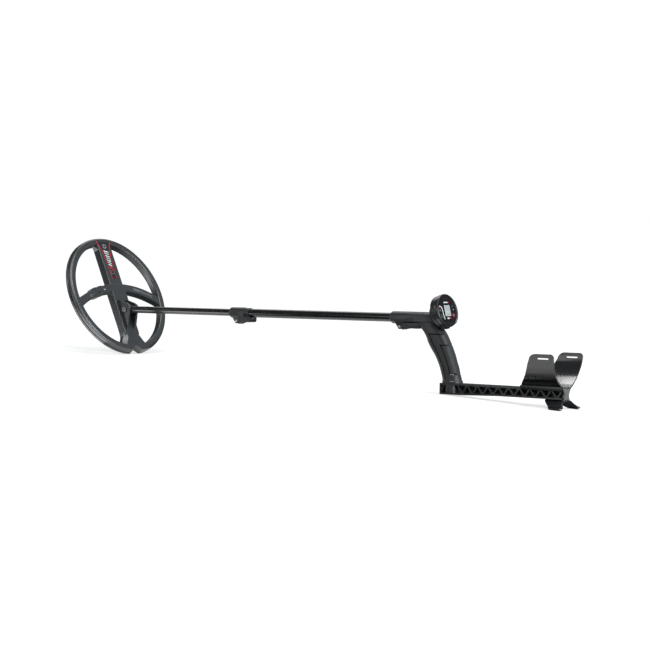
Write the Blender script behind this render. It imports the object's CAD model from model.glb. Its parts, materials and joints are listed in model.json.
"""Wireless metal detector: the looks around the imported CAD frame.

Pieces are drawn in millimetres in the frame of the part they belong to (stem, coil or control
unit) and are placed by that frame's matrix, so every position follows from the CAD joints.
"""
import json
import math

import bmesh
import bpy
from mathutils import Matrix, Vector


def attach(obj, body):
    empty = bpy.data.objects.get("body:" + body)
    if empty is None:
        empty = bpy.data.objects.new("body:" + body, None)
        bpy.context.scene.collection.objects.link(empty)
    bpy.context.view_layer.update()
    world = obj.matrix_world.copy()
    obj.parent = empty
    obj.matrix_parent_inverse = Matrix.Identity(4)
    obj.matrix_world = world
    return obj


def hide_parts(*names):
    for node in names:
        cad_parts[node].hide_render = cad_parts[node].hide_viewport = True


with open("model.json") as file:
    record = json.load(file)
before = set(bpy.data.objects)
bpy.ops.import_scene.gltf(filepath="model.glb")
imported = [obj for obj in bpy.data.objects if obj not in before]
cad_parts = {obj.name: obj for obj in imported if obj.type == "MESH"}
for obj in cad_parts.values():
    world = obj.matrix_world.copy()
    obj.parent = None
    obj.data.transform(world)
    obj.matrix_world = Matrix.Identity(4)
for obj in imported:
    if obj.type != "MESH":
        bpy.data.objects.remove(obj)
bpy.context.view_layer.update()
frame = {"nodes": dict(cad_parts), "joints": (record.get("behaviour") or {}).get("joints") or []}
nodes = frame["nodes"]
joints = {joint["name"]: joint for joint in frame["joints"]}

# ------------------------------------------------------------------ frames

MM = 0.001
COIL_TILT = math.radians(65)
HINGE_BACK = 43
HINGE_UP = 21
FACE_PLACE = (874.5, 0, 16.5)
FACE_TILT = math.radians(14)
ROOM_LIGHT = 0.09


def new_object(name, data):
    """A linked object that holds some data."""
    thing = bpy.data.objects.new(name, data)
    bpy.context.scene.collection.objects.link(thing)
    return thing


def basis(x_axis, y_axis, z_axis, place=(0, 0, 0)):
    """A matrix from its three axes and its origin."""
    matrix = Matrix((x_axis, y_axis, z_axis)).transposed().to_4x4()
    matrix.translation = Vector(place)
    return matrix


along = Vector(joints["lower_stem_telescope"]["axis"]).normalized()
side = Vector((0, 1, 0))
hinge = Vector(joints["coil_tilt"]["pos_m"])
STEM = basis(along, side, along.cross(side), hinge) @ Matrix.Scale(MM, 4)
COIL = STEM @ Matrix.Rotation(COIL_TILT, 4, "Y") @ Matrix.Translation((-HINGE_BACK, 0, -HINGE_UP))
FACE = (STEM @ Matrix.Translation(FACE_PLACE) @ Matrix.Rotation(-FACE_TILT, 4, "Y")
        @ basis((0, 1, 0), (0, 0, 1), (1, 0, 0)))

# ------------------------------------------------------------------ camera and studio


LENS = 110.8
CAMERA_PLACE = (3163, -3167, 107)
CAMERA_BACK = (0.634, -0.773, 0.031)
CAMERA_UP = (-0.026, 0.018, 1.0)


def add_camera():
    """A long lens ahead of the coil and to the left, a little above the stem."""
    data = bpy.data.cameras.new("view")
    data.lens = LENS
    data.sensor_width = 36
    data.clip_end = 60
    camera = new_object("view", data)
    back = Vector(CAMERA_BACK).normalized()
    right = Vector(CAMERA_UP).cross(back).normalized()
    turn = basis(right, back.cross(right), back)
    place = STEM @ Vector(CAMERA_PLACE)
    camera.matrix_world = Matrix.Translation(place) @ (STEM.to_3x3().normalized()
                                                       @ turn.to_3x3()).to_4x4()
    bpy.context.scene.camera = camera


def add_light(name, place, target, size, radiance, tint=(1, 1, 1), glossy_only=True):
    """A soft rectangular lamp at a place, turned to a target, all in metres."""
    data = bpy.data.lights.new(name, "AREA")
    data.shape = "RECTANGLE"
    data.size, data.size_y = size
    data.energy = radiance * math.pi * size[0] * size[1]
    data.color = tint
    lamp = new_object(name, data)
    lamp.location = place
    lamp.rotation_euler = (Vector(target) - Vector(place)).to_track_quat("-Z", "Y").to_euler()
    lamp.visible_camera = False
    lamp.visible_diffuse = not glossy_only


def add_sun(name, towards, strength, soft_angle):
    """Even light from far away, shining along a direction."""
    data = bpy.data.lights.new(name, "SUN")
    data.energy = strength
    data.angle = math.radians(soft_angle)
    lamp = new_object(name, data)
    lamp.rotation_euler = Vector(towards).to_track_quat("-Z", "Y").to_euler()


def set_inputs(shader_node, values):
    """Sets a shader node's inputs by name."""
    for name, value in values.items():
        shader_node.inputs[name].default_value = value


def add_world():
    """Seen directly the surroundings are white paper; as light they are a dim room."""
    world = bpy.data.worlds.new("studio")
    world.use_nodes = True
    tree = world.node_tree
    paper = tree.nodes["Background"]
    set_inputs(paper, {"Color": (1, 1, 1, 1), "Strength": 1.0})
    room = tree.nodes.new("ShaderNodeBackground")
    set_inputs(room, {"Color": (0.86, 0.94, 1.0, 1), "Strength": ROOM_LIGHT})
    path = tree.nodes.new("ShaderNodeLightPath")
    mix = tree.nodes.new("ShaderNodeMixShader")
    tree.links.new(path.outputs["Is Camera Ray"], mix.inputs["Fac"])
    tree.links.new(room.outputs["Background"], mix.inputs[1])
    tree.links.new(paper.outputs["Background"], mix.inputs[2])
    tree.links.new(mix.outputs["Shader"], tree.nodes["World Output"].inputs["Surface"])
    bpy.context.scene.world = world


def add_sheet(name, corners, level, glow, paper=0.95, fade=None):
    """A flat sheet with a little light of its own, which may fade between two Y values."""
    mesh = bpy.data.meshes.new(name)
    mesh.from_pydata([(x, y, level) for x, y in corners], [], [(0, 1, 2, 3)])
    sheet = new_object(name, mesh)
    material = bpy.data.materials.new(name + "_paper")
    material.use_nodes = True
    shader = material.node_tree.nodes["Principled BSDF"]
    set_inputs(shader, {"Base Color": (paper, paper, paper, 1), "Roughness": 1.0,
                        "Specular IOR Level": 0.0, "Emission Color": (1, 1, 1, 1),
                        "Emission Strength": glow})
    if fade:
        tree = material.node_tree
        place = tree.nodes.new("ShaderNodeTexCoord")
        split = tree.nodes.new("ShaderNodeSeparateXYZ")
        ramp = tree.nodes.new("ShaderNodeMapRange")
        ramp.interpolation_type = "SMOOTHSTEP"
        set_inputs(ramp, {"From Min": fade[0], "From Max": fade[1], "To Max": glow})
        tree.links.new(place.outputs["Object"], split.inputs["Vector"])
        tree.links.new(split.outputs["Y"], ramp.inputs["Value"])
        tree.links.new(ramp.outputs["Result"], shader.inputs["Emission Strength"])
    mesh.materials.append(material)
    return sheet


FLOOR_LEVEL = -0.0008
FLOOR_GLOW = 0.66
FLOOR_PAPER = 0.55


def add_floor():
    """A wide white floor that only the camera sees, and cards that only glossy surfaces see."""
    floor = add_sheet("floor", rect(-40, 40, -40, 40), FLOOR_LEVEL, FLOOR_GLOW, FLOOR_PAPER)
    floor.visible_glossy = False
    floor.visible_diffuse = False
    stem_card = [(-0.70, -0.07), (0.30, -0.12), (0.30, 0.12), (-0.70, 0.07)]
    tail_card = rect(-0.50, -0.40, 0.012, 0.06)
    coil_card = [(-0.95, -0.50), (-0.36, -0.40), (-0.36, -0.09), (-0.80, -0.08)]
    cuff_card = [(-0.35, -1.4), (0.66, -1.4), (0.66, -0.022), (0.40, -0.022)]
    for name, corners, level, glow, fade in (("stem_card", stem_card, -0.0004, 0.5, None),
                                             ("coil_card", coil_card, -0.0005, 2.8, None),
                                             ("cuff_card", cuff_card, -0.0006, 1.6,
                                              (-0.035, -0.13)),
                                             ("tail_card", tail_card, -0.0003, 1.1, None)):
        card = add_sheet(name, corners, level, glow, 0 if fade else 0.95, fade)
        card.visible_camera = False
        card.visible_shadow = False
        card.visible_diffuse = False


def add_studio():
    """White floor and surroundings, a broad sun, two soft fills and lamps for highlights."""
    add_world()
    add_floor()
    cool = (0.90, 0.96, 1)
    add_sun("overhead", (-0.30, 0.30, -1.0), 2.0, 60)
    add_light("fill_box", (2.3, -1.7, 1.0), (-0.1, 0, 0.1), (1.1, 1.3), 2.7, cool, False)
    add_light("rear_fill", (3.0, 0.4, 1.0), (0.2, 0, 0.1), (0.9, 1.6), 13, cool, False)
    add_light("low_box", (2.6, -1.25, 0.42), (-0.5, 0, 0.1), (0.8, 0.7), 12, cool)
    add_light("front_box", (-2.4, -1.2, 0.75), (-0.5, 0, 0.1), (0.7, 0.8), 2.8, cool)
    add_light("side_box", (-0.62, -1.5, 0.38), (0.5, 0, 0.1), (0.6, 0.5), 2.4)
    add_light("back_box", (-1.35, 1.0, 1.45), (-0.1, 0, 0.15), (1.1, 1.5), 1.6)
    add_light("cuff_box", (0.12, 0.02, 0.80), (0.6, 0.03, 0.1), (0.45, 0.12), 13)
    add_light("top_box", (0.52, 1.93, 1.3), (-0.55, 0, 0.12), (1.6, 1.4), 0.42, cool)
    add_light("end_box", (2.2, 1.9, 0.16), (0.64, 0, 0.05), (0.9, 0.6), 2.6)
    add_light("up_box", (0.56, 0, 1.8), (-0.5, 0, 0.1), (0.6, 0.6), 4)


# ------------------------------------------------------------------ materials


def add_node(tree, kind, **values):
    """A shader node with its inputs and settings by name."""
    made = tree.nodes.new(kind)
    for name, value in values.items():
        if name in made.inputs:
            made.inputs[name].default_value = value
        else:
            setattr(made, name, value)
    return made


def object_noise(tree, scale, detail):
    """Noise in the object's own metres, so it is the same size on every piece."""
    coordinates = add_node(tree, "ShaderNodeTexCoord")
    noise = add_node(tree, "ShaderNodeTexNoise", Scale=scale, Detail=detail)
    tree.links.new(coordinates.outputs["Object"], noise.inputs["Vector"])
    return noise


def mix_colours(tree, factor, dark, light):
    """A colour that runs from dark to light with a factor."""
    ramp = add_node(tree, "ShaderNodeValToRGB")
    ramp.color_ramp.elements[0].position = 0.3
    ramp.color_ramp.elements[0].color = (*dark, 1)
    ramp.color_ramp.elements[1].position = 0.7
    ramp.color_ramp.elements[1].color = (*light, 1)
    tree.links.new(factor, ramp.inputs["Fac"])
    return ramp.outputs["Color"]


def surface(name, colour, rough, grain=1400, grain_depth=0.06, mottle=0.12, metal=0.0, level=0.5,
            coat=0.0, coat_rough=0.1, smudge=0.04):
    """Moulded or coated material: fine grain in relief, and slow changes of colour and gloss."""
    material = bpy.data.materials.new(name)
    material.use_nodes = True
    tree = material.node_tree
    shader = tree.nodes["Principled BSDF"]
    set_inputs(shader, {"Metallic": metal, "Specular IOR Level": level, "Coat Weight": coat,
                        "Coat Roughness": coat_rough})
    slow = object_noise(tree, 14, 5)
    dark = tuple(c * (1 - mottle) for c in colour)
    light = tuple(min(1, c * (1 + mottle) + 0.002) for c in colour)
    tree.links.new(mix_colours(tree, slow.outputs["Fac"], dark, light), shader.inputs["Base Color"])
    handling = object_noise(tree, 55, 6)
    gloss = add_node(tree, "ShaderNodeMapRange")
    set_inputs(gloss, {"From Min": 0.3, "From Max": 0.7, "To Min": max(0.03, rough - smudge),
                       "To Max": min(1, rough + smudge)})
    tree.links.new(handling.outputs["Fac"], gloss.inputs["Value"])
    tree.links.new(gloss.outputs["Result"], shader.inputs["Roughness"])
    fine = object_noise(tree, grain, 3)
    bump = add_node(tree, "ShaderNodeBump", Strength=grain_depth, Distance=0.0003)
    tree.links.new(fine.outputs["Fac"], bump.inputs["Height"])
    tree.links.new(bump.outputs["Normal"], shader.inputs["Normal"])
    return material


# CAD nodes that wear it, colour, roughness, grain scale, grain depth, other values of surface()
FINISHES = {
    "coil_plastic": (["coil_shell"], (0.022, 0.0255, 0.027), 0.33, 1800, 0.035,
                     dict(mottle=0.05, level=0.95, smudge=0.015)),
    "skid_plastic": (["coil_skid_cover"], (0.035, 0.038, 0.04), 0.5, 1500, 0.10, {}),
    "tube_coat": (["lower_stem", "mid_tube"], (0.010, 0.0103, 0.011), 0.20, 2400, 0.015,
                  dict(coat=0.3, coat_rough=0.10)),
    "lock_plastic": (["stem_yoke", "lower_lock_collar"], (0.034, 0.0352, 0.037), 0.36, 1700, 0.05,
                     {}),
    "lever_plastic": (["lower_lock_lever", "upper_lock_lever"], (0.022, 0.023, 0.025), 0.40, 1700,
                      0.10, {}),
    "grip_plastic": (["handle_frame", "grip_shell_left", "grip_shell_right", "grip_foot_ring"],
                     (0.033, 0.0342, 0.0355), 0.40, 1500, 0.07, {}),
    "grip_rubber": (["grip_pad_left", "grip_pad_right"], (0.040, 0.0405, 0.040), 0.60, 900, 0.20,
                    dict(level=0.35)),
    "beam_plastic": (["arm_beam"], (0.036, 0.037, 0.039), 0.36, 1600, 0.05, {}),
    "cuff_plastic": (["arm_cuff"], (0.015, 0.0155, 0.0165), 0.27, 2200, 0.008,
                     dict(mottle=0.05, coat=0.4, coat_rough=0.14, smudge=0.012)),
    "remote_plastic": (["remote_cradle", "remote_rear_case"], (0.018, 0.019, 0.0205), 0.36, 1700,
                       0.03, dict(mottle=0.05, smudge=0.015)),
    "rim_plastic": (["remote_bezel"], (0.020, 0.021, 0.0225), 0.30, 1700, 0.02,
                    dict(mottle=0.05, coat=0.3, coat_rough=0.16, smudge=0.015)),
    "face_gloss": (["remote_face"], (0.006, 0.006, 0.007), 0.10, 400, 0.01,
                   dict(coat=1.0, coat_rough=0.03)),
    "steel": (["lower_lock_pin", "upper_lock_pin", "grip_screws", "foot_screw",
               "remote_case_screws"], (0.48, 0.49, 0.50), 0.30, 900, 0.10, dict(metal=1.0)),
    "hinge_alloy": (["hinge_bolt"], (0.17, 0.18, 0.185), 0.40, 1200, 0.10, dict(metal=0.6)),
    "black_nylon": (["hinge_nut", "hinge_washers", "stem_end_plug", "mid_tube_plug", "cuff_screw",
                     "remote_speaker"], (0.02, 0.021, 0.022), 0.52, 1500, 0.12, {}),
    "soft_rubber": (["lower_lock_pad", "upper_lock_pad", "cuff_foot_pads", "remote_seal",
                     "remote_key_mat", "port_cover", "key_plus", "key_minus", "key_menu",
                     "key_back"], (0.015, 0.015, 0.016), 0.72, 800, 0.25, dict(level=0.3)),
    "bush_plastic": (["mid_tube_bush"], (0.62, 0.62, 0.59), 0.42, 1500, 0.08, {}),
    "copper": (["coil_winding_transmit", "coil_winding_receive"], (0.60, 0.26, 0.11), 0.34, 700,
               0.20, dict(metal=1.0)),
    "contact_metal": (["charge_contacts"], (0.72, 0.50, 0.22), 0.28, 900, 0.08, dict(metal=1.0)),
    "board_green": (["coil_circuit", "remote_board"], (0.03, 0.16, 0.06), 0.40, 900, 0.10, {}),
    "cell_metal": (["coil_battery", "remote_battery"], (0.42, 0.43, 0.45), 0.34, 900, 0.08,
                   dict(metal=0.8)),
    "display_film": (["remote_display"], (0.42, 0.47, 0.46), 0.30, 1200, 0.02, {}),
    "power_rubber": (["key_power"], (0.11, 0.010, 0.014), 0.50, 900, 0.10, {}),
    "label_film": (["coil_label"], (0.012, 0.012, 0.013), 0.22, 1500, 0.03, {}),
    "plate_film": (["coil_data_plate"], (0.10, 0.105, 0.11), 0.38, 1500, 0.05, {}),
    "print_red": ([], (0.52, 0.02, 0.045), 0.30, 1500, 0.03, {}),
    "print_white": ([], (0.72, 0.73, 0.73), 0.34, 1500, 0.03, {}),
    "gap_shadow": ([], (0.0015, 0.0015, 0.0016), 0.7, 900, 0.1, dict(level=0.1)),
    "mark_grey": ([], (0.34, 0.34, 0.33), 0.4, 1500, 0.03, {}),
    "print_wine": ([], (0.16, 0.012, 0.02), 0.34, 1500, 0.03, {}),
    "print_pink": ([], (0.62, 0.30, 0.28), 0.34, 1500, 0.03, {}),
    "print_grey": ([], (0.24, 0.25, 0.26), 0.34, 1500, 0.03, {}),
    "print_ink": ([], (0.05, 0.055, 0.06), 0.4, 1500, 0.03, {}),
    "key_rubber": ([], (0.022, 0.023, 0.024), 0.5, 900, 0.12, {}),
}
LOOKS = {name: surface(name, *row[1:-1], **row[-1]) for name, row in FINISHES.items()}

# Edge rounding, in millimetres, on the parts of the frame that stay in sight
SOFT_EDGES = {"arm_beam": 0.5, "stem_yoke": 0.5, "cuff_screw": 0.4, "cuff_foot_pads": 0.6,
              "hinge_bolt": 0.4, "hinge_nut": 0.5, "hinge_washers": 0.2, "lower_lock_pad": 0.3,
              "upper_lock_pad": 0.3, "remote_cradle": 0.5, "port_cover": 0.4,
              "coil_skid_cover": 0.5,
              "mid_tube_bush": 0.3, "foot_screw": 0.3, "grip_screws": 0.2}


def window_glass():
    """Clear plastic over the display."""
    material = surface("window_clear", (0.8, 0.84, 0.84), 0.06, 400, 0.01, mottle=0.02)
    shader = material.node_tree.nodes["Principled BSDF"]
    set_inputs(shader, {"Alpha": 0.22, "IOR": 1.45})
    return material


LOOKS["window_clear"] = window_glass()


def wear(thing, look):
    """Gives a thing one material."""
    thing.data.materials.clear()
    thing.data.materials.append(LOOKS[look])


def soften(thing, width, angle=32, segments=2):
    """Rounds the sharp edges of a moulded piece; width is in millimetres."""
    bevel = thing.modifiers.new("edge", "BEVEL")
    bevel.width = width * MM
    bevel.segments = segments
    bevel.limit_method = "ANGLE"
    bevel.angle_limit = math.radians(angle)
    bevel.harden_normals = False
    bevel.use_clamp_overlap = True


# ------------------------------------------------------------------ mesh building


def place_mesh(name, mesh_data, matrix, look=None):
    """Puts a bmesh, drawn in millimetres, into the scene through a frame's matrix."""
    bmesh.ops.transform(mesh_data, matrix=matrix, verts=mesh_data.verts)
    bmesh.ops.recalc_face_normals(mesh_data, faces=mesh_data.faces)
    mesh = bpy.data.meshes.new(name)
    mesh_data.to_mesh(mesh)
    mesh_data.free()
    thing = new_object(name, mesh)
    if look:
        mesh.materials.append(LOOKS[look])
    return thing


def from_rings(rings, closed=False, caps=True):
    """A skin over rings of points, closed end to end or capped."""
    made = bmesh.new()
    rows = [[made.verts.new(point) for point in ring] for ring in rings]
    count = len(rows[0])
    pairs = list(zip(rows, rows[1:])) + ([(rows[-1], rows[0])] if closed else [])
    for low, high in pairs:
        for i in range(count):
            j = (i + 1) % count
            made.faces.new((low[i], low[j], high[j], high[i]))
    if caps and not closed:
        made.faces.new(rows[0][::-1])
        made.faces.new(rows[-1])
    return made


def turned(profile, segments=160, start=0.0, sweep=360.0, centre=(0, 0)):
    """A closed (radius, height) profile turned about Z; angles in degrees."""
    full = sweep >= 360
    steps = segments if full else segments + 1
    rings = []
    for i in range(steps):
        angle = math.radians(start + sweep * i / segments)
        rings.append([(centre[0] + r * math.cos(angle), centre[1] + r * math.sin(angle), h)
                      for r, h in profile])
    return from_rings(rings, closed=full)


def prism(outline, low, high):
    """An outline in X and Y drawn up from low to high."""
    return from_rings([[(x, y, low) for x, y in outline], [(x, y, high) for x, y in outline]])


def side_plate(outline, near, far):
    """An outline in X and Z as a plate between two Y values."""
    return from_rings([[(x, near, z) for x, z in outline], [(x, far, z) for x, z in outline]])


def rect(x0, x1, y0, y1):
    """The outline of a rectangle."""
    return [(x0, y0), (x1, y0), (x1, y1), (x0, y1)]


def stem_plate(name, outline, near, far, look=None):
    """A side plate in the stem's frame."""
    return place_mesh(name, side_plate(outline, near, far), STEM, look)


def arc_points(centre, radius, start, end, count):
    """Points on an arc; angles in degrees."""
    return [(centre[0] + radius * math.cos(math.radians(start + (end - start) * i / count)),
             centre[1] + radius * math.sin(math.radians(start + (end - start) * i / count)))
            for i in range(count + 1)]


def shade(thing, angle=34):
    """Smooth shading, with edges kept where faces turn by more than the angle."""
    mesh = thing.data
    mesh.polygons.foreach_set("use_smooth", [True] * len(mesh.polygons))
    mesh.set_sharp_from_angle(angle=math.radians(angle))


def settle(thing):
    """Applies a thing's modifiers to its mesh."""
    graph = bpy.context.evaluated_depsgraph_get()
    mesh = bpy.data.meshes.new_from_object(thing.evaluated_get(graph))
    thing.modifiers.clear()
    thing.data = mesh
    return thing


def combine(thing, others, operation="UNION", looks="INDEX"):
    """Joins solids to a thing, or cuts them away, and removes them; TRANSFER keeps their looks."""
    for other in others:
        step = thing.modifiers.new(operation.lower(), "BOOLEAN")
        step.operation = operation
        step.solver = "EXACT"
        step.material_mode = looks
        step.object = other
    settle(thing)
    for other in others:
        bpy.data.objects.remove(other)
    return thing


def rounded(thing, width, angle=32, segments=2):
    """A solid with its sharp edges rounded for good."""
    soften(thing, width, angle, segments)
    return settle(thing)


def finish_piece(thing, body, stands_for=(), angle=34):
    """Shades a finished piece and ties it to the frame."""
    shade(thing, angle)
    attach(thing, body)
    if stands_for:
        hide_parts(*stands_for)
    return thing


def add_piece(name, mesh_data, matrix, look, body, stands_for=(), angle=34):
    """Places a piece and finishes it."""
    return finish_piece(place_mesh(name, mesh_data, matrix, look), body, stands_for, angle)


# ------------------------------------------------------------------ search coil

RIM_OUT = 140
RIM_IN = 122.5
SHELL_LOW = -6.3
RIM_TOP = 8
SPINE_TOP = 10
FRONT_TOP = 8.9
ARC_CENTRE = 225.5
ARC_RADIUS = 241
NOTCH_APEX = 123
EAR_NEAR = 9.1
EAR_FAR = 14.1
BOLT = (HINGE_BACK, HINGE_UP)
BOLT_RADIUS = 4
POCKET_RADIUS = 7.6
KEEP_RADIUS = RIM_OUT * 0.939


def rim_solid():
    """The coil's ring: a low band, a parting groove, then a rounded shoulder."""
    band = [(RIM_OUT - 0.4, SHELL_LOW), (RIM_OUT, SHELL_LOW + 0.4), (RIM_OUT, -2.6),
            (RIM_OUT - 0.4, -2.2),
            (RIM_OUT - 2.0, -2.1), (RIM_OUT - 2.0, -0.4), (RIM_OUT - 0.6, -0.2)]
    wide, tall = 7.6, RIM_TOP - 0.1
    outer = [(RIM_OUT - 0.4 - wide + wide * math.cos(math.radians(a)),
              0.1 + tall * math.sin(math.radians(a)))
             for a in range(0, 91, 9)]
    inner = arc_points((RIM_IN + 3.2, RIM_TOP - 3.2), 3.2, 90, 180, 6)
    return turned([(RIM_IN, SHELL_LOW)] + band + outer + inner, 240)


def box_section(half, top, flare):
    """The spine's section: straight sides and a bevel that grows where the sides flare."""
    right = [(half + flare, SHELL_LOW), (half + flare, top - 2.2 - 1.5 * flare),
             (half - 0.4, top - 0.5),
             (half - 1.3, top)]
    return [(-y, z) for y, z in right] + right[::-1]


def spine_solid(stations):
    """The raised box along the middle; each station is (u, half width, top, flare)."""
    return from_rings([[(u, y, z) for y, z in box_section(half, top, flare)]
                       for u, half, top, flare in stations])


def tail_solid():
    """Sloping flanks that widen from the spine into the rear of the rim, with a ridge between."""
    rings = []
    for u, foot, ridge, brow in ((90, 21.6, 17.0, 5.0), (98.4, 24.0, 17.0, 4.4),
                                 (106, 29.5, 17.3, 3.6),
                                 (113, 33.2, 21.2, 3.9), (121.5, 38.2, 26.2, 5.4),
                                 (127, 41.5, 29.5, 7.4)):
        crest = SPINE_TOP - 0.15 - max(0, u - 104) * 0.08
        rings.append([(u, -foot, SHELL_LOW), (u, foot, SHELL_LOW), (u, foot, brow),
                      (u, ridge, crest),
                      (u, -ridge, crest), (u, -foot, brow)])
    return from_rings(rings)


def bar_top(angle):
    """The crossbar's top is level with the spine in the middle and sinks towards the rim."""
    return SPINE_TOP - 3.6 * (abs(angle - 180) / 31) ** 1.6


def arc_band(section, start, end, steps):
    """A (radius, height above the bar's top) section carried along the crossbar's arc."""
    rings = []
    for i in range(steps + 1):
        angle = start + (end - start) * i / steps
        u, y = math.cos(math.radians(angle)), math.sin(math.radians(angle))
        rings.append([(ARC_CENTRE + r * u, r * y, max(SHELL_LOW, bar_top(angle) + h)) for r,
                      h in section])
    return from_rings(rings)


def crossbar_solid():
    """The curved bar across the coil, about a point behind it."""
    low, high = ARC_RADIUS - 9, ARC_RADIUS + 9
    outer = arc_points((high - 1.4, -1.4), 1.4, 0, 90, 4)
    inner = arc_points((low + 1.4, -1.4), 1.4, 90, 180, 4)
    return arc_band([(low, -30), (high, -30)] + outer + inner, 149, 211, 64)


def cable_way():
    """Outline of the slanted cable groove across the left arm."""
    turn = math.radians(119.7)
    outline = arc_points((11, 0), 1.9, -90, 90, 8) + arc_points((-11, 0), 1.9, 90, 270, 8)
    return [(-0.5 + x * math.cos(turn) - y * math.sin(turn),
             -68.5 + x * math.sin(turn) + y * math.cos(turn))
            for x, y in outline]


def notch_cutter():
    """The V that opens to the rear, with broad bevels along its top edges."""
    reach = 30
    rings = []
    for z, apex, slope in ((-12, NOTCH_APEX + 7.5, 1.5), (3.2, NOTCH_APEX + 5.6, 1.5),
                           (SPINE_TOP - 1.2, NOTCH_APEX, 1.72),
                           (SPINE_TOP + 4, NOTCH_APEX - 1.2, 1.72)):
        rings.append([(apex, 0, z), (apex + reach, reach * slope, z),
                      (apex + reach, -reach * slope, z)])
    return from_rings(rings)


def ear_outline():
    """Side view of a hinge ear: a long ramp up to a rounded crest, then a long ramp down."""
    return ([(12, SPINE_TOP - 3), (14, SPINE_TOP - 0.5), (20.5, 18), (33, 33)]
            + arc_points((HINGE_BACK, 30), 8.4, 132, 38, 8) + [(86.7, 10.9), (89, SPINE_TOP - 3)])


def wheel(centre, radius, step, start=0):
    """Points round a circle, one every few degrees."""
    return [(centre[0] + radius * math.cos(math.radians(a)),
             centre[1] + radius * math.sin(math.radians(a)))
            for a in range(start, start + 360, step)]


LABEL_ROWS = [(-128, 22.5), (-121, 19.0), (-114, 16.0), (-106, 13.2), (-97, 11.4), (-86, 10.2),
              (-72, 9.2), (-58, 8.1), (-47, 7.2), (-38, 6.5)]
LABEL_FLOOR = FRONT_TOP - 0.45
LABEL_TOP = FRONT_TOP - 0.12
INK = 0.07
BADGE = (-117, 0)


def glide(values, t):
    """A smooth value along a list of rows, by Catmull-Rom."""
    span = len(values) - 1
    i = min(int(t * span), span - 1)
    u = t * span - i
    a, b, c, d = (values[max(0, min(span, i + k))] for k in (-1, 0, 1, 2))
    return tuple(0.5 * (2 * q + (r - p) * u + (2 * p - 5 * q + 4 * r - s) * u * u
                        + (3 * q - p - 3 * r + s) * u ** 3) for p, q, r, s in zip(a, b, c, d))


def label_half(u):
    """Half width of the label: a wide flare at the rim that narrows towards the crossbar."""
    for (u0, half0), (u1, half1) in zip(LABEL_ROWS, LABEL_ROWS[1:]):
        if u <= u1:
            return half0 + (half1 - half0) * (u - u0) / (u1 - u0)
    return LABEL_ROWS[-1][1]


def strip(edge_a, edge_b, low, high):
    """A thin solid between two lines of (u, y) points."""
    return prism(edge_a + edge_b[::-1], low, high)


def build_coil():
    """The coil's shell with its spine, crossbar and hinge ears, then its label and marks."""
    shell = place_mesh("coil_shell_skin", rim_solid(), COIL, "coil_plastic")
    front = place_mesh("front",
                       spine_solid([(-134, 19, FRONT_TOP - 0.8, 4), (-131, 19.5, FRONT_TOP, 4.6),
                                    (-121, 19.5, FRONT_TOP, 4.6),
                                    (-109.5, 19.6, FRONT_TOP, 0),
                                    (-18, 20.0, FRONT_TOP, 0)]), COIL)
    rear = place_mesh("rear",
                      spine_solid([(-21, 20.4, SPINE_TOP - 0.1, 0), (0, 21.6, SPINE_TOP - 0.1, 0),
                                   (97.4, 21.6, SPINE_TOP - 0.1, 0),
                                   (98.4, 20.8, SPINE_TOP - 0.9, 0)]),
                      COIL)
    tail = place_mesh("tail", tail_solid(), COIL)
    bar = place_mesh("bar", crossbar_solid(), COIL)
    lugs = []
    for start, end, over in ((195.3, 199.2, 2.4), (191.1, 194.3, 1.7)):
        section = rect(ARC_RADIUS - 9 - over, ARC_RADIUS + 9 + over, -30, 0.4)
        lugs.append(rounded(place_mesh("lug", arc_band(section, start, end, 4), COIL), 1.5, 60, 4))
    keep = place_mesh("keep", prism(wheel((0, 0), KEEP_RADIUS, 3), -30, 60), COIL)
    for piece in (tail, bar, front):
        trimmer = keep.copy()
        trimmer.data = keep.data.copy()
        bpy.context.scene.collection.objects.link(trimmer)
        combine(piece, [trimmer], "INTERSECT")
    bpy.data.objects.remove(keep)
    ears = []
    for sign in (-1, 1):
        ear = place_mesh("ear", side_plate(ear_outline(), sign * EAR_NEAR, sign * EAR_FAR), COIL)
        rounded(ear, 0.7, 30)
        ears.append(ear)
    combine(shell, [front, rear, tail, bar] + lugs + ears)
    cuts = [place_mesh("notch", notch_cutter(), COIL)]
    for sign in (-1, 1):
        pocket = side_plate(wheel(BOLT, POCKET_RADIUS, 10), sign * (EAR_FAR - 1.1),
                            sign * (EAR_FAR + 4))
        cuts.append(place_mesh("pocket", pocket, COIL))
        bolt_way = side_plate(wheel(BOLT, BOLT_RADIUS, 10), sign * (EAR_NEAR - 3),
                              sign * (EAR_FAR + 3))
        cuts.append(place_mesh("bolt_way", bolt_way, COIL))
    start, end = LABEL_ROWS[0][0], LABEL_ROWS[-1][0]
    label_line = [(start + (end - start) * i / 48, label_half(start + (end - start) * i / 48))
                  for i in range(49)]
    cuts.append(place_mesh("label_bed", strip(label_line, [(u, -y) for u, y in label_line],
                                              LABEL_FLOOR, SPINE_TOP + 4), COIL))
    cuts.append(place_mesh("cable_way", prism(cable_way(), SPINE_TOP - 3.6, SPINE_TOP + 4), COIL))
    cuts.append(place_mesh("plate_bed", arc_band(rect(237.9, 245.1, -0.5, 4),
                                                 154.8, 168.8, 20), COIL))
    combine(shell, cuts, "DIFFERENCE")
    finish_piece(shell, "coil", ["coil_shell"], 17)
    build_coil_label(label_line)
    build_crossbar_marks()


def label_print(name, outline, look):
    """A printed mark on the label."""
    return add_piece(name, prism(outline, LABEL_TOP, LABEL_TOP + INK), COIL, look,
                     "coil")


def label_core(name, outline):
    """A patch of bare film on top of a printed mark."""
    core = prism(outline, LABEL_TOP + INK, LABEL_TOP + 0.12)
    add_piece(name, core, COIL, "label_film", "coil")


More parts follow.
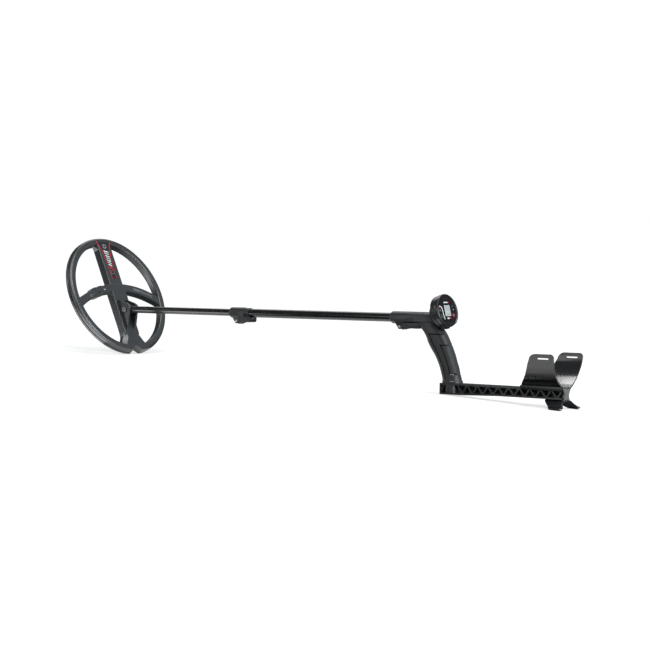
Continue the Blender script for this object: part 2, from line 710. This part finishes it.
def build_coil_label(line):
    """A black film with two red edge lines, a plain badge and a row of slanted racing stripes."""
    inner = [(u, y - 0.12) for u, y in line]
    film = place_mesh("coil_label_skin",
                      strip(inner, [(u, -y) for u, y in inner], LABEL_FLOOR, LABEL_TOP),
                      COIL, "label_film")
    finish_piece(film, "coil", ["coil_label"])
    for name, sign in (("label_line_right", 1), ("label_line_left", -1)):
        wide = [(u, sign * (y - 0.3)) for u, y in line]
        slim = [(u, sign * (y - 1.7 - 1.9 * max(0, (-84 - u) / 47))) for u, y in line]
        label_print(name, wide + slim[::-1], "print_red")
    label_print("label_badge", wheel(BADGE, 6.4, 60), "print_grey")
    label_core("label_badge_core", wheel(BADGE, 3.4, 60, 30))
    stripes = ((-106, 3.6, 6.8, 4), (-100.0, 2.4, 6.4, 4), (-94.6, 3.4, 6.0, 4),
               (-88.6, 2.4, 5.6, 4),
               (-83.4, 3.2, 5.6, 4), (-77.6, 2.4, 5.2, 4), (-72.6, 3.4, 5.0, 4),
               (-66.0, 5.0, 4.6, 4))
    for i, (u, width, reach, slant) in enumerate(stripes):
        outline = [(u - slant / 2, -reach), (u + width - slant / 2, -reach),
                   (u + width + slant / 2, reach),
                   (u + slant / 2, reach)]
        label_print(f"label_stripe_{i + 1}", outline,
                    "print_red" if i == len(stripes) - 1 else "print_white")
    label_print("label_block", [(-58, -4.6), (-58, 4.6), (-49, 4.2), (-49, -4.2)], "print_grey")
    label_core("label_block_core", [(-57.2, -3.8), (-57.2, 3.8), (-49.8, 3.4), (-49.8, -3.4)])


def frame_outline(centre, half, thick):
    """A square ring as one outline with a hairline seam."""
    (u, y), slit = centre, 0.02
    outer = [(u + half, y + slit), (u + half, y + half), (u - half, y + half), (u - half, y - half),
             (u + half, y - half), (u + half, y - slit)]
    small = half - thick
    inner = [(u + small, y - slit), (u + small, y - small), (u - small, y - small),
             (u - small, y + small),
             (u + small, y + small), (u + small, y + slit)]
    return outer + inner


def build_crossbar_marks():
    """Plain printed marks on the left arm, and an inset plate with ticks on the right arm."""
    def mark(name, outline, top, look):
        add_piece(name, prism(outline, top - 0.4, top + INK), COIL, look, "coil")

    mark("bar_mark_arrow", [(-13.6, -42.6), (-9.8, -40), (-10.2, -45)], 9.43, "print_white")
    mark("bar_mark_square", frame_outline((3.0, -87), 2.6, 0.8), 8.08, "print_grey")
    plate = place_mesh("coil_data_plate_skin", arc_band(rect(238.1, 244.9, -0.5, -0.18), 154.95,
                                                        168.65, 20), COIL, "plate_film")
    finish_piece(plate, "coil", ["coil_data_plate"])
    for i in range(7):
        angle = 168.1 - i * 0.62
        add_piece(f"plate_tick_{i + 1}", arc_band(
            rect(239.4, 243.4, -0.2, -0.12), angle - 0.16, angle + 0.1, 1),
                  COIL, "print_grey", "coil")


# ------------------------------------------------------------------ handle and grip

SOCKET_FRONT = 741
SOCKET_REAR = 872
SEAT_TOP = (838, 12.3)
SEAT_LOW = (866, -22)
TUBE_BORE = 9.08
LOCK_DROP = 17.5
KNUCKLE = 5.7
LOWER_PIN = 23
LOWER_FRONT = 308
LOWER_REAR = 363
UPPER_PIN = 24


def circle(centre, radius, count=40):
    """Points round a circle."""
    return [(centre[0] + radius * math.cos(math.tau * i / count),
             centre[1] + radius * math.sin(math.tau * i / count)) for i in range(count)]


def along_x(section, stations):
    """A (y, z) section carried along X; each station is (x, scale)."""
    return from_rings([[(x, y * k, z * k) for y, z in section] for x, k in stations])


def bar_along_x(section, ends, sign=1):
    """A (y, z) section between two X values, on one side or the other."""
    return from_rings([[(x, sign * y, z) for y, z in section] for x in ends])


def socket_section(radius, ledge=0.8):
    """Round top, flattened sides, and a ledge low on each side."""
    right = [(radius * math.cos(math.radians(a)), radius * math.sin(math.radians(a)))
             for a in range(90, 18, -6)]
    flat = radius - 0.55
    low = radius - ledge
    right += [(flat, 3.2), (flat, -6.6), (flat - 0.5, -7.2)]
    right += [(low * math.cos(math.radians(a)), low * math.sin(math.radians(a)))
              for a in range(-42, -90, -6)]
    return right + [(0, -low)] + [(-y, z) for y, z in right[:0:-1]]


def seat_block():
    """Everything behind the sloping seat of the control unit."""
    (x0, z0), (x1, z1) = SEAT_TOP, SEAT_LOW
    grow = 2.0
    start = (x0 - (x1 - x0) * grow, z0 - (z1 - z0) * grow)
    end = (x1 + (x1 - x0) * grow, z1 + (z1 - z0) * grow)
    return side_plate([start, end, (end[0] + 200, end[1]), (end[0] + 200, start[1])], -40, 40)


def cheek_outline(x):
    """A lock's cheek: a rounded lug that runs up into the collar."""
    return ([(x - 15, -6)] + arc_points((x, -LOCK_DROP), 5.3, 200, 340, 12) + [(x + 10, -6)])


def build_lock_collar(name, body, stations, section, pivot, bores, stands_for, look, cuts=()):
    """A collar with two cheeks under it for the lever's pin."""
    collar = place_mesh(name, along_x(section, stations), STEM, look)
    cheeks = []
    for sign in (-1, 1):
        cheek = stem_plate("cheek", cheek_outline(pivot), sign * 7.2, sign * 10.6)
        cheeks.append(rounded(cheek, 0.9, 30, 3))
    combine(collar, cheeks)
    cutters = [place_mesh("bore", along_x(circle((0, 0), r, 64), [(a, 1), (b, 1)]), STEM)
               for a, b, r in bores]
    cutters.append(stem_plate("pin_way", circle((pivot, -LOCK_DROP), 2.05, 24), -20, 20))
    cutters += cuts
    combine(collar, cutters, "DIFFERENCE")
    rounded(collar, 0.35, 40, 2)
    return finish_piece(collar, body, stands_for)


def lever_outline(pivot, reach, top, tip):
    """Side view of a lever's arm: round knuckle in front, slim finger end behind."""
    knuckle = arc_points((pivot, -LOCK_DROP), KNUCKLE, -56, 8, 10)
    return (knuckle
            + [(pivot + KNUCKLE + 1.6, -LOCK_DROP + 3.4), (pivot + KNUCKLE + 3.4, top - 1.2),
               (pivot + KNUCKLE + 5.0, top), (pivot + reach - 1.5, top)]
            + arc_points((pivot + reach - 2.0, top - 3.5), 3.5, 72, 0, 5)
            + arc_points((pivot + reach - 3.5, tip + 4.0), 5.0, -4, -88, 6)
            + [(pivot + 22, tip - 0.5), (pivot + 15, tip - 0.8), (pivot + 9.5, tip - 2.4)])


def build_lever(name, body, node, pivot, reach, half, hollow, top, tip):
    """A cam lever that lies along its collar when shut: an arm, and a barrel between the cheeks."""
    arm = stem_plate(name, lever_outline(pivot, reach, top, tip), -half, half, "lever_plastic")
    rounded(arm, 1.0, 30, 3)
    lobe = (arc_points((pivot, -LOCK_DROP), 5.3, 95, 200, 8)
            + arc_points((pivot + 4.2, -LOCK_DROP - 1.9), 4.2, 215, 300, 6)
            + [(pivot + 15, tip - 0.4), (pivot + 15, top - 2), (pivot + 9, top - 2)])
    barrel = stem_plate("barrel", lobe, -6.9, 6.9)
    rounded(barrel, 0.5, 30, 2)
    combine(arm, [barrel])
    cutters = [place_mesh("hollow", along_x(circle((0, 0), hollow, 64),
                                            [(pivot - 30, 1), (pivot + reach + 10, 1)]), STEM),
               stem_plate("pin_way", circle((pivot, -LOCK_DROP), 2.1, 24), -20, 20)]
    for i in range(4):
        x = pivot + reach - 12 + i * 2.6
        cutters.append(stem_plate("grip_line", 
                                  rect(x, x + 0.9, tip - 2.2, tip - 0.5),
                                  -half + 1.6, half - 1.6))
    combine(arm, cutters, "DIFFERENCE")
    finish_piece(arm, body, [node])


def pin_head(name, body, pivot):
    """The pin's domed head on each cheek."""
    for label, sign in (("near", -1), ("far", 1)):
        dome = [(2.6 - 0.15 * i * i, 0.28 * i) for i in range(4)]
        head = turned([(0.01, 0)] + [(r, h) for r, h in dome] + [(0.01, 0.95)], 28)
        spin = Matrix.Translation((pivot, sign * 10.5, -LOCK_DROP)) @ Matrix.Rotation(
            math.radians(-90 * sign), 4, "X")
        add_piece(f"{name}_{label}", head, STEM @ spin, "steel", body)


def build_locks():
    """The lower collar and the handle's socket, each with a cam lever and its pin."""
    lock_x, rear = LOWER_FRONT, LOWER_REAR
    slope = stem_plate("slope", [(346, 14), (352, -14), (rear + 3, -14), (rear + 3, 14)], -14, 14)
    inner = place_mesh("core", along_x(circle((0, 0), 10.5, 64), [(340, 1), (rear + 5, 1)]), STEM)
    combine(slope, [inner], "DIFFERENCE")
    build_lock_collar("lower_collar_skin", "middle_tube",
                      [(lock_x, 0.80), (lock_x + 2.6, 0.98), (lock_x + 4, 1), (rear, 1)],
                      socket_section(11.5, 0.4), lock_x + LOWER_PIN,
                      [(lock_x - 1, lock_x + 3, 7.58), (lock_x + 3, rear + 1, 9.02)],
                      ["lower_lock_collar"], "lock_plastic", [slope])
    build_lever("lower_lever_skin", "lower_lever", "lower_lock_lever", lock_x + LOWER_PIN, 37.5,
                10.3, 11.9, -7.2,
                -18.6)
    pin_head("lower_pin_head", "middle_tube", lock_x + LOWER_PIN)
    seat = place_mesh("seat", seat_block(), STEM)
    grooves = []
    for sign in (-1, 1):
        grooves.append(stem_plate("groove", 
                                  rect(SOCKET_FRONT + 8, SOCKET_REAR, -6.3, -6.9),
                                  sign * 11.3, sign * 14))
        grooves.append(stem_plate("groove", 
                                  [(798, -6.3), (800.5, 8), (801.1, 8), (798.6, -6.3)],
                                  sign * 11.45, sign * 14))
    build_lock_collar("socket_skin", "handle",
                      [(SOCKET_FRONT - 1.5, 0.86), (SOCKET_FRONT + 0.8, 0.985),
                       (SOCKET_FRONT + 2.5, 1),
                       (SOCKET_REAR, 1.0)],
                      socket_section(12.5, 0.5), SOCKET_FRONT + UPPER_PIN,
                      [(SOCKET_FRONT - 5, 838, TUBE_BORE)], ["handle_frame"], "lock_plastic",
                      [seat] + grooves)
    build_lever("upper_lever_skin", "upper_lever", "upper_lock_lever", SOCKET_FRONT + UPPER_PIN, 46,
                10.3, 12.9,
                -9.6, -20.0)
    pin_head("upper_pin_head", "handle", SOCKET_FRONT + UPPER_PIN)


# Height, front-to-back middle, half depth and half thickness of the grip
GRIP_ROWS = [(-8, 828, 23.5, 11.8), (-15, 834.5, 23.6, 12.4), (-22, 840.9, 23.7, 13.3),
             (-30, 847.5, 23.5, 13.9), (-38, 852.2, 23.3, 14.2), (-46, 855.9, 23.9, 14.2),
             (-54, 860.4, 23.7, 14.1), (-62, 865.0, 22.7, 14.0), (-70, 869.8, 21.3, 13.9),
             (-78, 873.6, 20.2, 13.8), (-86, 877.0, 19.6, 13.7), (-94, 880.3, 19.3, 13.7),
             (-102, 882.8, 19.0, 13.7), (-110, 885.2, 18.9, 13.8), (-118, 887.2, 18.9, 13.9),
             (-124.4, 888.4, 19.0, 14.0)]


# With a corner power of 0.58, or grooves 4.2 deep, the exact boolean lost the grip's skin
GRIP_CORNER = 0.68
GROOVE_DEPTH = -1.8
PAD_DEPTH = -1.9


def grip_ring(row, grow, count=72):
    """One level of the grip: an oval with squarer corners."""
    z, middle, deep, thick = row
    ring = []
    for i in range(count):
        u, v = math.cos(math.tau * i / count), math.sin(math.tau * i / count)
        ring.append((middle + (deep + grow) * math.copysign(abs(u) ** GRIP_CORNER, u),
                     (thick + grow) * math.copysign(abs(v) ** GRIP_CORNER, v), z))
    return ring


def grip_body(grow, steps=64):
    """The grip's body, swollen or shrunk by an amount."""
    return from_rings([grip_ring(glide(GRIP_ROWS, k / steps), grow) for k in range(steps + 1)])


def grip_edge(share, z):
    """X at a height, from 0 at the grip's front edge to 1 at its rear edge."""
    low, high = 0.0, 1.0
    for _ in range(24):
        mid = (low + high) / 2
        if glide(GRIP_ROWS, mid)[0] > z:
            low = mid
        else:
            high = mid
    _, middle, deep, _ = glide(GRIP_ROWS, low)
    return middle + deep * (2 * share - 1)


def grip_strip(share_a, share_b, z_top, z_low, steps=24):
    """Outline of a band that follows the grip's curve between two shares of its depth."""
    heights = [z_top + (z_low - z_top) * i / steps for i in range(steps + 1)]
    return ([(grip_edge(share_a, z), z) for z in heights]
            + [(grip_edge(share_b, z), z) for z in heights[::-1]])


def skin_of_grip(outline, sign, inner, outer):
    """The part of the grip's skin inside a side outline, on one side."""
    piece = stem_plate("skin", outline, sign * 4, sign * 22)
    core = place_mesh("core", grip_body(inner), STEM)
    combine(piece, [core], "DIFFERENCE")
    if outer is not None:
        shape = place_mesh("shape", grip_body(outer), STEM)
        combine(piece, [shape], "INTERSECT")
    return piece


def grip_patch(name, outline, sign, inner, outer, look, stands_for=()):
    """A pad or mark set into the grip's skin."""
    patch = skin_of_grip(outline, sign, inner, outer)
    wear(patch, look)
    patch.name = name
    finish_piece(patch, "handle", stands_for, 40)


def build_grip():
    """The grip's two shells with dark grooves and seams, then a pad and a mark on each side."""
    grip = place_mesh("grip_skin", grip_body(0), STEM, "grip_plastic")
    cutters = [place_mesh("seat", seat_block(), STEM),
               place_mesh("socket_room", along_x(circle((0, 0), 12.2, 64), [(780, 1), (900, 1)]),
                          STEM)]
    for sign in (-1, 1):
        lines = [grip_strip(0.32, 0.36, -29.6, -117), grip_strip(0.32, 0.975, -29.2, -31.2, 2),
                 grip_strip(0.66, 0.985, -50.0, -106.4), grip_strip(0.58, 0.985, -106.4, -108.4, 2)]
        for outline in lines:
            cutters.append(skin_of_grip(outline, sign, GROOVE_DEPTH, None))
    cutters.append(stem_plate("seam", grip_strip(0.012, -0.3, -14, -123), -0.16, 0.16))
    cutters.append(stem_plate("seam", grip_strip(0.988, 1.3, -40, -123), -0.16, 0.16))
    for cutter in cutters[2:]:
        wear(cutter, "gap_shadow")
    combine(grip, cutters, "DIFFERENCE", "TRANSFER")
    finish_piece(grip, "handle", ["grip_shell_left", "grip_shell_right"], 40)
    for name, sign in (("left", -1), ("right", 1)):
        grip_patch(f"grip_pad_{name}_skin", grip_strip(0.705, 0.975, -52.2, -105), sign, PAD_DEPTH,
                   -0.1,
                   "grip_rubber", [f"grip_pad_{name}"])
        grip_patch(f"grip_mark_{name}", grip_strip(0.66, 0.86, -106.4, -108.2, 2), sign, PAD_DEPTH,
                   0.05,
                   "mark_grey")


def build_foot_ring():
    """The band round the grip's foot, with a lighter inlay on each side."""
    rows = [(-118.6, -1.2), (-119.4, -1.2), (-119.5, 0.6), (-119.9, 1.0), (-124.0, 1.1),
            (-124.4, 0.8)]
    rings = [grip_ring((z, *glide(GRIP_ROWS, (z + 8) / -116.4 * 0.985 + 0.015)[1:]), grow)
             for z, grow in rows]
    ring = place_mesh("foot_ring_skin", from_rings(rings), STEM, "grip_plastic")
    finish_piece(ring, "handle", ["grip_foot_ring"])
    for name, sign in (("left", -1), ("right", 1)):
        grip_patch(f"foot_inlay_{name}", grip_strip(0.60, 0.84, -119.9, -121.4, 2), sign, 0.4, 1.25,
                   "mark_grey")


# ------------------------------------------------------------------ arm cuff

CUFF_BACK = 1150
WING_LINE = [(0, -122.75), (6, -122.6), (12, -121.6), (18, -118.9), (24, -114.3), (30, -108.7),
             (36, -101.6), (41, -93.4), (45, -84.6), (48, -76), (50, -67), (50.8, -57)]
LEG_LINE = [(0, -146.0), (7, -146.1), (12, -147.4), (17, -150.3), (22, -154.2), (26.5, -158.0),
            (31, -159.3)]


def smooth_line(points, steps):
    """A fine line through a few points."""
    return [glide(points, i / steps) for i in range(steps + 1)]


def ribbon(line, thick):
    """Both faces of a line thickened to each side."""
    outer, inner = [], []
    for i, (y, z) in enumerate(line):
        y0, z0 = line[max(0, i - 1)]
        y1, z1 = line[min(len(line) - 1, i + 1)]
        long = math.hypot(y1 - y0, z1 - z0)
        ny, nz = -(z1 - z0) / long * thick / 2, (y1 - y0) / long * thick / 2
        outer.append((y + ny, z + nz))
        inner.append((y - ny, z - nz))
    return outer + inner[::-1]


def wing_side():
    """Side view of a wing: rounded front shoulder, straight top, round rear corner."""
    return ([(1054, -130), (1055.5, -125.5), (1063, -118), (1074, -108.5), (1083, -98.5),
             (1089.5, -87.5),
             (1094, -77.5)] + arc_points((1112.5, -73.5), 15.2, 168, 96, 7)
            + [(1128, -58.4)] + arc_points((1144.8, -66.2), 7.9, 88, 4, 6)
            + [(1152.2, -76), (1151, -88), (1150, -100), (1150, -131)])


def leg_side():
    """Side view of the legs, wide below the beam and flat on the ground."""
    return [(1101, -139), (1150, -139), (1150, -146), (1152.5, -152), (1158, -158.2),
            (1158.5, -160.5),
            (1130.5, -160.5), (1128, -158), (1113, -148.5)]


def build_cuff():
    """Two wings and two legs round a waist, then strap slots and three ribs on each wing."""
    wings = []
    for sign in (-1, 1):
        shape = ribbon(smooth_line(WING_LINE, 44), 3.2)
        wing = place_mesh("wing", bar_along_x(shape, (1040, 1170), sign), STEM)
        trim = stem_plate("trim", wing_side(), -80, 80)
        combine(wing, [trim], "INTERSECT")
        wings.append(wing)
        shape = ribbon(smooth_line(LEG_LINE, 30), 3.0)
        leg = place_mesh("leg", bar_along_x(shape, (1090, 1175), sign), STEM)
        trim = stem_plate("trim", leg_side(), -80, 80)
        combine(leg, [trim], "INTERSECT")
        wings.append(leg)
        pad = place_mesh("toe", prism(rect(1132.5, 1157.5, sign * 26, sign * 37), -160.5, -158.9),
                         STEM)
        wings.append(pad)
    waist = [(0, -121.6), (10, -121), (18, -117.6), (25, -112.2), (27, -113.4), (20.5, -119.4),
             (15.6, -123.6),
             (12, -127.2), (9.4, -131.4), (8.3, -136), (8.7, -140.8), (11, -145), (15, -148.9),
             (20, -152.8),
             (18.5, -153.6), (12, -149.2), (6, -147.4), (0, -147.3)]
    section = waist + [(-y, z) for y, z in waist[-2:0:-1]]
    block = place_mesh("waist", bar_along_x(section, (1146.3, CUFF_BACK)), STEM)
    wings.append(block)
    for sign in (-1, 1):
        drape = [(14.6, -121.5), (18.4, -119.6), (18.0, -121.8), (16.0, -128.4), (14.6, -128.8)]
        skirt = place_mesh("skirt", bar_along_x(drape, (1057, CUFF_BACK), sign), STEM)
        wings.append(rounded(skirt, 0.8, 30, 3))
    cuff = wings.pop(0)
    cuff.name = "arm_cuff_skin"
    combine(cuff, wings)
    cutters = []
    for sign in (-1, 1):
        slot = (arc_points((1117.4, -67), 1.3, 90, 270, 8)
                + arc_points((1140.6, -67), 1.3, -90, 90, 8))
        cutters.append(stem_plate("slot", slot, sign * 40, sign * 60))
    combine(cuff, cutters, "DIFFERENCE")
    wear(cuff, "cuff_plastic")
    rounded(cuff, 0.55, 38, 3)
    finish_piece(cuff, "arm_cuff", ["arm_cuff"], 40)
    for side_name, sign in (("left", -1), ("right", 1)):
        for i in range(3):
            x = 1084 + i * 17
            rib_line = [p for p in smooth_line(WING_LINE, 44) if -119 < p[1] < -101 + 3 * i]
            outer = ribbon(rib_line, 4.1)
            rib = place_mesh(f"wing_rib_{side_name}_{i + 1}", from_rings(
                [[(x + d + (z + 119) * 0.18, sign * y, z) for y, z in outer] for d in (0, 1.0)]),
                             STEM, "cuff_plastic")
            finish_piece(rib, "arm_cuff")


# ------------------------------------------------------------------ control unit


def face_print(name, outline, look, body="control_unit", low=-0.72, high=-0.64):
    """A thin printed mark on the face."""
    return add_piece(name, prism(outline, low, high), FACE, look, body)


def pill(x0, x1, y, half):
    """A bar with round ends."""
    return (arc_points((x1 - half, y), half, -90, 90, 8)
            + arc_points((x0 + half, y), half, 90, 270, 8))


def digit(name, x, y, segments, high=4.6, wide=2.6, thick=0.55):
    """A seven-segment figure on the display; segments are letters from a to g."""
    spans = {"a": ((0, high), (wide, high)), "b": ((wide, high), (wide, high / 2)),
             "c": ((wide, high / 2), (wide, 0)), "d": ((0, 0), (wide, 0)),
             "e": ((0, 0), (0, high / 2)),
             "f": ((0, high / 2), (0, high)), "g": ((0, high / 2), (wide, high / 2))}
    for letter in segments:
        (x0, y0), (x1, y1) = spans[letter]
        flat = y0 == y1
        outline = (rect(x + x0 + 0.3, x + x1 - 0.3, y + y0 - thick / 2, y + y0 + thick / 2) if flat
                   else
                   [(x + x0 - thick / 2, y + min(y0, y1) + 0.3),
                    (x + x0 + thick / 2, y + min(y0, y1) + 0.3),
                    (x + x0 + thick / 2, y + max(y0, y1) - 0.3),
                    (x + x0 - thick / 2, y + max(y0, y1) - 0.3)])
        face_print(f"{name}_{letter}", outline, "print_ink", low=-1.6, high=-1.54)


def build_case():
    """The rear case: a drum with a rounded back edge and a finger notch on each side."""
    back = -20.0
    profile = ([(11, back), (29.4, back)] + arc_points((29.5, back + 2.8), 2.8, -84, 0, 7)
               + [(32.3, -8.9), (31.7, -8.5), (31.7, -7.2), (29.6, -7.2), (29.6, -14.5),
                  (11, -14.5)])
    case = place_mesh("rear_case_skin", turned(profile, 120), FACE, "remote_plastic")
    block = place_mesh("block",
                       prism([(-8, -34.2), (8, -34.2), (11, -28), (-11, -28)], -17.0, -9.6), FACE)
    rounded(block, 1.2, 30, 3)
    combine(case, [block])
    holes = [place_mesh("port", prism(rect(-5.5, 5.5, -40, -30), -14.4, -11.4), FACE)]
    for x in (-16, 16):
        for y in (-16, 16):
            holes.append(place_mesh("hole", prism(circle((x, y), 2.4, 24), back - 1, back + 1.2),
                                    FACE))
        flank = [(x * 1.75, -3), (x * 2.3, -5), (x * 2.3, 17), (x * 1.75, 15.6)]
        holes.append(place_mesh("notch", prism(flank, back - 1, back + 4.6), FACE))
    for i in range(5):
        x = -8 + i * 4
        holes.append(place_mesh("vent", prism(rect(x - 0.6, x + 0.6, -24, -17.5),
                                              back - 1, back + 0.8), FACE))
    combine(case, holes, "DIFFERENCE")
    finish_piece(case, "control_unit", ["remote_rear_case"], 38)


def build_bezel():
    """The front ring: a proud rounded lip, cut flat at the bottom, with a sloping chin below."""
    profile = ([(0.01, -3.3), (0.01, -2.6), (30.3, -2.6), (30.3, -0.72), (31.3, 0.55)]
               + arc_points((32.0, 0.0), 0.95, 140, 5, 7)
               + [(33.2, -2.2), (33.2, -7.6), (32.9, -8.1), (30.2, -8.1), (30.2, -3.3)])
    bezel = place_mesh("bezel_skin", turned(profile, 160), FACE, "rim_plastic")
    chin = prism([(32.8 * math.cos(math.radians(a)), 32.8 * math.sin(math.radians(a)))
                  for a in range(228, 313, 4)], -7.9, -0.25)
    combine(bezel, [place_mesh("chin", chin, FACE)])
    slope = place_mesh("slope", from_rings([[(x, -25.3, 2.4), (x, -25.6, -0.5), (x, -27.5, -2.0),
                                             (x, -36, -9.0), (x, -36, 4)] for x in (-30, 30)]),
                       FACE)
    window = prism(rect(-9.3, 11.3, -12, 12), -9, 3)
    cuts = [slope, place_mesh("window", window, FACE)]
    for _, x, y, r in KEYS:
        cuts.append(place_mesh("key_way", prism(circle((x, y), r + 1.1, 32), -9, 3), FACE))
    combine(bezel, cuts, "DIFFERENCE")
    finish_piece(bezel, "control_unit", ["remote_bezel"], 38)


KEYS = [("plus", -24, 0.5, 3.6), ("minus", -22, -9.5, 3.6), ("menu", 18.2, 8.5, 2.4),
        ("back", 19.6, 1.5, 2.4), ("power", 17.8, -9.5, 3.6)]


def build_keys():
    """Each key is a dished cap with a plain symbol."""
    for name, x, y, r in KEYS:
        dish = [(0.01, -3.9), (r + 0.7, -3.9), (r + 0.7, -3.35), (r, -3.3), (r, -0.45),
                (r - 0.12, -0.15),
                (r - 0.5, 0.06), (r - 0.9, 0.02), (r - 1.3, -0.12), (0.01, -0.26)]
        cap = turned(dish, 48, centre=(x, y))
        add_piece(f"key_{name}_skin", cap, FACE,
                  "power_rubber" if name == "power" else "key_rubber",
                  f"key_{name}", [f"key_{name}"])

    symbols = [("plus_bar", "plus", rect(-25.5, -22.5, 0.2, 0.8), "print_grey"),
               ("plus_post", "plus", rect(-24.3, -23.7, -1.0, 2.0), "print_grey"),
               ("minus_bar", "minus", rect(-23.5, -20.5, -9.8, -9.2), "print_grey")]
    for i in range(3):
        y = 7.5 + i * 0.9
        symbols.append((f"menu_line_{i + 1}", "menu", rect(17.1, 19.3, y, y + 0.4), "print_grey"))
    symbols.append(("back_arrow", "back", [(18.2, 1.5), (20.4, 0.2), (20.0, 1.5), (20.4, 2.8)],
                    "print_white"))
    for label, key, outline, look in symbols:
        face_print(label, outline, look, f"key_{key}", -0.2, -0.02)
    power = arc_points((17.8, -9.7), 1.9, 125, 415, 20)
    face_print("power_ring", ribbon(power, 0.6), "print_pink", "key_power", -0.22, -0.02)
    face_print("power_post", rect(17.5, 18.1, -9.4, -7.0), "print_pink",
               "key_power", -0.22, -0.02)


def build_face_prints():
    """Marks on the face: a crescent, two bars with red ends, key surrounds and the display."""
    crescent = smooth_line([(-24.6, 8.9), (-20.8, 8.6), (-17.6, 6.2), (-15.6, 1.8), (-15.0, -4),
                            (-14.4, -10.5), (-12.2, -17.4)], 36)
    face_print("crescent", ribbon(crescent, 2.1), "print_white")
    face_print("crescent_dot", circle((-26.3, 7.6), 1.25, 24), "print_red")
    for name, x0, x1, y, split in (("upper", -7.8, 8.9, 16.3, 4.8),
                                   ("lower", -4.8, 7.8, -15.3, 3.4)):
        face_print(f"bar_{name}", pill(x0, split, y, 1.35), "print_white")
        face_print(f"bar_{name}_end", pill(split + 0.4, x1, y, 1.35), "print_red")
    surround = smooth_line([(-20.6, 5.6), (-24.6, 6.2), (-28.1, 2.2), (-28.0, -4.6), (-26.0, -11.6),
                            (-21.8, -15.0), (-17.6, -12.4)], 32)
    face_print("key_surround", ribbon(surround, 0.5), "print_grey")
    face_print("power_surround", ribbon(circle((17.8, -9.5), 5.3, 36)[:34], 0.4), "print_wine")
    face_print("top_mark", ribbon(arc_points((0.5, 4), 20.5, 104, 76, 12), 0.5), "print_wine")
    digit("figure_tens", -3.4, 0.4, "abged", 7.4, 4.0, 0.8)
    digit("figure_units", 2.9, 0.4, "abcdefg", 7.4, 4.0, 0.8)
    for i in range(6):
        x = -6.8 + i * 2.7
        tall = 1.2 + 0.45 * i
        face_print(f"level_{i + 1}", rect(x, x + 1.6, -8.6, -8.6 + tall),
                   "print_ink", low=-1.6, high=-1.54)
    face_print("level_rule", rect(-7.4, 9.2, -3.2, -2.9), "print_ink",
               low=-1.6, high=-1.54)


for look, row in FINISHES.items():
    for node_name in row[0]:
        wear(nodes[node_name], look)
wear(nodes["remote_window"], "window_clear")
for node_name, width in SOFT_EDGES.items():
    soften(nodes[node_name], width)

build_coil()
build_locks()
build_grip()
build_foot_ring()
build_cuff()
build_case()
build_bezel()
build_keys()
build_face_prints()

add_camera()
add_studio()
bpy.context.scene.view_settings.view_transform = "Standard"
